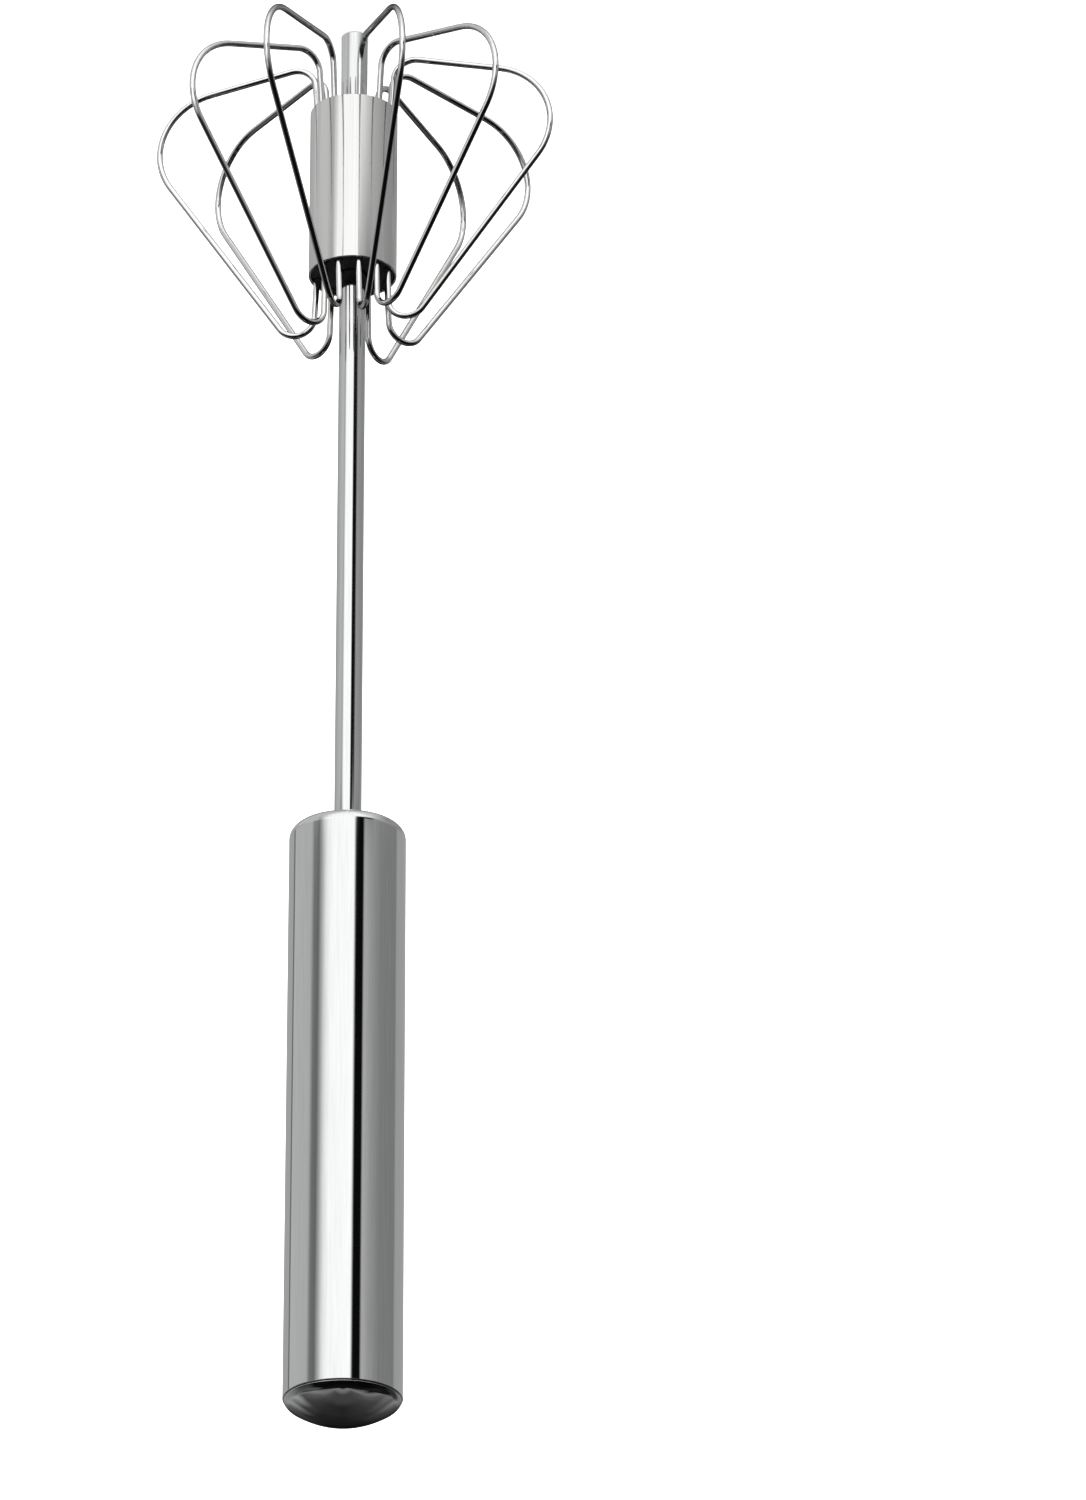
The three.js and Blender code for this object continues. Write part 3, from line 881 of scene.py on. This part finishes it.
class WHISK_OT_end_cap(bpy.types.Operator):
    """Make the domed end cap and the thin black seal under it."""

    bl_idname = "whisk.end_cap"
    bl_label = "End cap and seal"

    def execute(self, context):
        sizes = context.scene.whisk_sizes
        edge, slope, foot_slope = sizes.cap_edge_radius, sizes.cap_dome_slope, sizes.cap_foot_slope
        chamfer, seal_gap, seal_width = 0.1 * MM, 0.12 * MM, 0.3 * MM
        low = HANDLE_TOP + seal_gap
        # The dome is the parabola whose slope where the edge's arc starts is the arc's own.
        centre_r = CAP_R - edge * math.sin(foot_slope)
        start_r = centre_r + edge * math.sin(slope)
        start_z = CAP_TOP - start_r * math.tan(slope) / 2
        centre_z = start_z - edge * math.cos(slope)
        arc = np.linspace(foot_slope, slope, CAP_EDGE_STEPS)
        rounded = np.stack([centre_r + edge * np.sin(arc), centre_z + edge * np.cos(arc)], -1)
        share = np.linspace(1, 0, CAP_DOME_STEPS)[1:]
        dome = np.stack([start_r * share, CAP_TOP - (CAP_TOP - start_z) * share**2], -1)
        base = np.array([[0, low], [CAP_R - chamfer, low], [CAP_R, low + chamfer]])
        section = np.concatenate([base, rounded, dome])
        make_piece(
            "handle_end_cap",
            turned(section, ROUND_SIDES),
            "handle",
            mirror_polished_stainless(),
            ["end_cap"],
        )
        lift, ring_edge = 0.01 * MM, 0.02 * MM
        ring = box_section(SEAL_R - seal_width, SEAL_R, HANDLE_TOP + lift, low, ring_edge)
        make_piece(
            "cap_seal",
            turned(ring, ROUND_SIDES),
            "handle",
            nitrile_rubber(),
            ["cap_gasket"],
            closed_rows=True,
        )
        return {"FINISHED"}


class WHISK_OT_shaft(bpy.types.Operator):
    """Make the slim hollow shaft and the plug in its tip."""

    bl_idname = "whisk.shaft"
    bl_label = "Shaft and tip plug"

    def execute(self, context):
        sizes = context.scene.whisk_sizes
        rim, plug_edge = 0.08 * MM, 0.3 * MM
        corners = [
            (sizes.shaft_bore, SHAFT_LOW),
            (SHAFT_R, SHAFT_LOW),
            (SHAFT_R, SHAFT_TOP),
            (sizes.shaft_bore, SHAFT_TOP),
        ]
        radii = [rim, sizes.tip_chamfer, rim, rim]
        section = bent_line(corners, radii, RIM_STEPS, closed=True)
        make_piece(
            "slim_shaft",
            turned(section, SMALL_SIDES),
            "whisk",
            mirror_polished_stainless(),
            ["shaft_tube"],
            closed_rows=True,
        )
        corners = [
            (0, TIP_PLUG_LOW),
            (TIP_PLUG_R, TIP_PLUG_LOW),
            (TIP_PLUG_R, TIP_PLUG_TOP),
            (0, TIP_PLUG_TOP),
        ]
        section = bent_line(corners, [plug_edge, plug_edge], RIM_STEPS)
        make_piece(
            "shaft_tip_plug",
            turned(section, SMALL_SIDES),
            "whisk",
            mirror_polished_stainless(),
            ["tip_plug"],
        )
        return {"FINISHED"}


class WHISK_OT_sleeve(bpy.types.Operator):
    """Make the bright drawn sleeve that holds the head's hubs."""

    bl_idname = "whisk.sleeve"
    bl_label = "Head sleeve"

    def execute(self, context):
        wall, edge = context.scene.whisk_sizes.sleeve_wall, 0.18 * MM
        section = box_section(SLEEVE_R - wall, SLEEVE_R, SLEEVE_LOW, SLEEVE_TOP, edge)
        make_piece(
            "wire_sleeve",
            turned(section, ROUND_SIDES),
            "whisk",
            drawn_stainless_sleeve(),
            ["head_sleeve"],
            closed_rows=True,
        )
        return {"FINISHED"}


def hub_surface(low, high, face_up, leg, sizes):
    """A hub: a ring whose outer face sinks in a smooth-edged socket round each wire. The face's
    height is face - depth * step(d), where d is the distance to the nearest leg and step falls
    from 1 to 0 between the socket's two radii. At its two rims the face rolls over by
    drop * (1 - sqrt(1 - t * t)), where t goes from 0 to 1 across the rim's width."""
    outer = SLEEVE_R - sizes.sleeve_wall - 0.05 * MM
    face, flat = (high, low) if face_up else (low, high)
    legs = []
    for loop in LOOPS:
        end, corner = loop_corners(*loop)[list(leg)]
        share = (face - end[2]) / (corner[2] - end[2])
        legs.append((end + share * (corner - end))[:2])
    angle = np.linspace(0, 2 * np.pi, HUB_SIDES, endpoint=False)
    radius = np.linspace(BORE_R, outer, HUB_RINGS)[:, None]
    spot = np.stack([radius * np.cos(angle), radius * np.sin(angle)], axis=-1)
    away = np.linalg.norm(spot[:, :, None] - np.array(legs), axis=-1).min(axis=-1)
    socket_r, socket_edge, socket_depth = sizes.wire_radius + 0.1 * MM, 0.3 * MM, 0.5 * MM
    rise = np.clip((away - socket_r) / socket_edge, 0, 1)
    sink = socket_depth * (1 - rise * rise * (3 - 2 * rise))
    rim_width, rim_drop = 0.35 * MM, 0.28 * MM
    near_rim = np.minimum(outer - radius, radius - BORE_R) + 0 * angle
    roll = np.clip(1 - near_rim / rim_width, 0, 1)
    sink = sink + rim_drop * (1 - np.sqrt(1 - roll * roll))
    height = face - sink if face_up else face + sink
    top = np.concatenate([spot, height[:, :, None]], axis=-1)
    ends = turned(np.array([[outer, flat], [BORE_R, flat]]), HUB_SIDES)
    return np.concatenate([top, ends])


class WHISK_OT_hubs(bpy.types.Operator):
    """Make the two black hubs in the sleeve's ends, which hold the wires' legs."""

    bl_idname = "whisk.hubs"
    bl_label = "Hubs"

    def execute(self, context):
        sizes = context.scene.whisk_sizes
        hubs = (
            ("tip_end_hub", TIP_HUB_LOW, TIP_HUB_TOP, False, (TIP_END, TIP_CORNER), "tip_side_hub"),
            ("grip_end_hub", GRIP_HUB_LOW, GRIP_HUB_TOP, True, (GRIP_END, FOOT), "grip_side_hub"),
        )
        for name, low, high, face_up, leg, node in hubs:
            make_piece(
                name,
                hub_surface(low, high, face_up, leg, sizes),
                "whisk",
                moulded_black_nylon(),
                [node],
                closed_rows=True,
            )
        return {"FINISHED"}


class WHISK_OT_wire_loops(bpy.types.Operator):
    """Make the ten closed loops of bright wire."""

    bl_idname = "whisk.wire_loops"
    bl_label = "Wire loops"

    def execute(self, context):
        radius = context.scene.whisk_sizes.wire_radius
        for number, loop in enumerate(LOOPS, start=1):
            line = bent_line(loop_corners(*loop), BEND_RADII, BEND_STEPS)
            azimuth = math.radians(loop[0][1])
            across = np.array([-math.cos(azimuth), math.sin(azimuth), 0.0])
            make_piece(
                f"bent_wire_{number:02d}",
                round_bar(line, radius, WIRE_SIDES, across),
                "whisk",
                bright_drawn_wire(),
                [f"wire_loop_{number:02d}"],
            )
        return {"FINISHED"}


class WHISK_OT_return_spring(bpy.types.Operator):
    """Make the coil spring that pushes the handle back up."""

    bl_idname = "whisk.return_spring"
    bl_label = "Return spring"

    def execute(self, context):
        sizes = context.scene.whisk_sizes
        turns = sizes.spring_turns
        low, high = SPRING_LOW + sizes.spring_wire, SPRING_TOP - sizes.spring_wire
        closed_pitch = 1.3 * MM
        # A helix: one closed turn at each end, and even turns between them.
        turn = np.linspace(0, turns, turns * TURN_STEPS + 1)
        open_pitch = (high - low - 2 * closed_pitch) / (turns - 2)
        height = low + np.interp(
            turn,
            [0, 1, turns - 1, turns],
            [0, closed_pitch, closed_pitch + open_pitch * (turns - 2), high - low],
        )
        angle = 2 * np.pi * turn
        line = np.stack(
            [sizes.spring_radius * np.cos(angle), sizes.spring_radius * np.sin(angle), height], -1
        )
        spring = make_piece(
            "coil_spring",
            round_bar(line, sizes.spring_wire, SPRING_SIDES, np.array([0.0, 0.0, 1.0])),
            "handle",
            plain_spring_steel(),
            ["return_spring"],
        )
        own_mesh(spring)
        return {"FINISHED"}


class WHISK_OT_drive(bpy.types.Operator):
    """Make the twisted rod and the turned rings of the drive, and finish its cut pieces."""

    bl_idname = "whisk.drive"
    bl_label = "Drive"

    def execute(self, context):
        sizes = context.scene.whisk_sizes
        # The strip's rounded section turns evenly with its height: a point of the section goes
        # round the axis by 2 pi * z / lead.
        half_w, half_t = sizes.rod_width / 2, sizes.rod_thickness / 2
        corners = [(-half_w, -half_t), (half_w, -half_t), (half_w, half_t), (-half_w, half_t)]
        strip_edge, ring_edge = 0.15 * MM, 0.2 * MM
        outline = bent_line(corners, [strip_edge] * 4, STRIP_EDGE_STEPS, closed=True)
        height = np.linspace(ROD_LOW, ROD_TOP, STRIP_STEPS)
        turn = (2 * np.pi * height / sizes.rod_lead)[:, None]
        x = outline[:, 0] * np.cos(turn) - outline[:, 1] * np.sin(turn)
        y = outline[:, 0] * np.sin(turn) + outline[:, 1] * np.cos(turn)
        side = np.stack([x, y, height[:, None] + 0 * x], axis=-1)
        start = side[:1] * (0, 0, 1)
        end = side[-1:] * (0, 0, 1)
        make_piece(
            "twisted_rod",
            np.concatenate([start, side, end]),
            "handle",
            plain_spring_steel(),
            ["twist_rod"],
        )
        rings = (
            ("shaft_collar", "stop_collar", "whisk", SHAFT_R + 0.05 * MM),
            ("slide_washer", "thrust_washer", "carriage", 2.2 * MM),
            ("seat_washer", "spring_seat", "handle", 2.2 * MM),
        )
        for name, node, body, bore in rings:
            section = box_section(bore, *reach_of(node), ring_edge)
            make_piece(
                name,
                turned(section, SMALL_SIDES),
                body,
                plain_spring_steel(),
                [node],
                closed_rows=True,
            )
        refinish("drive_nut", machined_acetal())
        refinish("rod_anchor", plain_spring_steel())
        refinish("anchor_pin", plain_spring_steel())
        return {"FINISHED"}


class WHISK_OT_bush_and_plug(bpy.types.Operator):
    """Make the plastic bearing in the handle's mouth, and finish the plug under the cap."""

    bl_idname = "whisk.bush_and_plug"
    bl_label = "Mouth bush and cap plug"

    def execute(self, context):
        corners = [(BORE_R, BUSH_LOW), (BUSH_R, BUSH_LOW), (BUSH_R, BUSH_TOP), (BORE_R, BUSH_TOP)]
        bore_edge, shoulder, top_edge = 0.4 * MM, 1.9 * MM, 0.3 * MM
        radii = [bore_edge, shoulder, top_edge, bore_edge]
        section = bent_line(corners, radii, RIM_STEPS, closed=True)
        make_piece(
            "shaft_bush",
            turned(section, SMALL_SIDES),
            "handle",
            machined_acetal(),
            ["mouth_bush"],
            closed_rows=True,
        )
        refinish("cap_plug", moulded_black_nylon())
        return {"FINISHED"}


class WHISK_PT_panel(bpy.types.Panel):
    """Lists the whisk's sizes, colours and pieces."""

    bl_idname = "WHISK_PT_panel"
    bl_label = "Push-down whisk"
    bl_space_type = "VIEW_3D"
    bl_region_type = "UI"
    bl_category = "Whisk"

    def draw(self, context):
        for group in (context.scene.whisk_sizes, context.scene.whisk_colours):
            column = self.layout.column(align=True)
            for name in group.__annotations__:
                column.prop(group, name)
        column = self.layout.column(align=True)
        for operator in OPERATORS:
            column.operator(operator.bl_idname)


OPERATORS = (
    WHISK_OT_stage,
    WHISK_OT_handle_tube,
    WHISK_OT_end_cap,
    WHISK_OT_shaft,
    WHISK_OT_sleeve,
    WHISK_OT_hubs,
    WHISK_OT_wire_loops,
    WHISK_OT_return_spring,
    WHISK_OT_drive,
    WHISK_OT_bush_and_plug,
)
CLASSES = (WhiskSizes, WhiskColours, *OPERATORS, WHISK_PT_panel)


def register():
    """Adds the classes and the scene's sizes and colours."""
    for cls in CLASSES:
        bpy.utils.register_class(cls)
    bpy.types.Scene.whisk_sizes = PointerProperty(type=WhiskSizes)
    bpy.types.Scene.whisk_colours = PointerProperty(type=WhiskColours)


def unregister():
    """Takes away what register added."""
    del bpy.types.Scene.whisk_colours
    del bpy.types.Scene.whisk_sizes
    for cls in reversed(CLASSES):
        bpy.utils.unregister_class(cls)


def main():
    """Registers the add-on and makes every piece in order."""
    register()
    for operator in OPERATORS:
        group, name = operator.bl_idname.split(".")
        getattr(getattr(bpy.ops, group), name)()


if __name__ == "__main__":
    main()
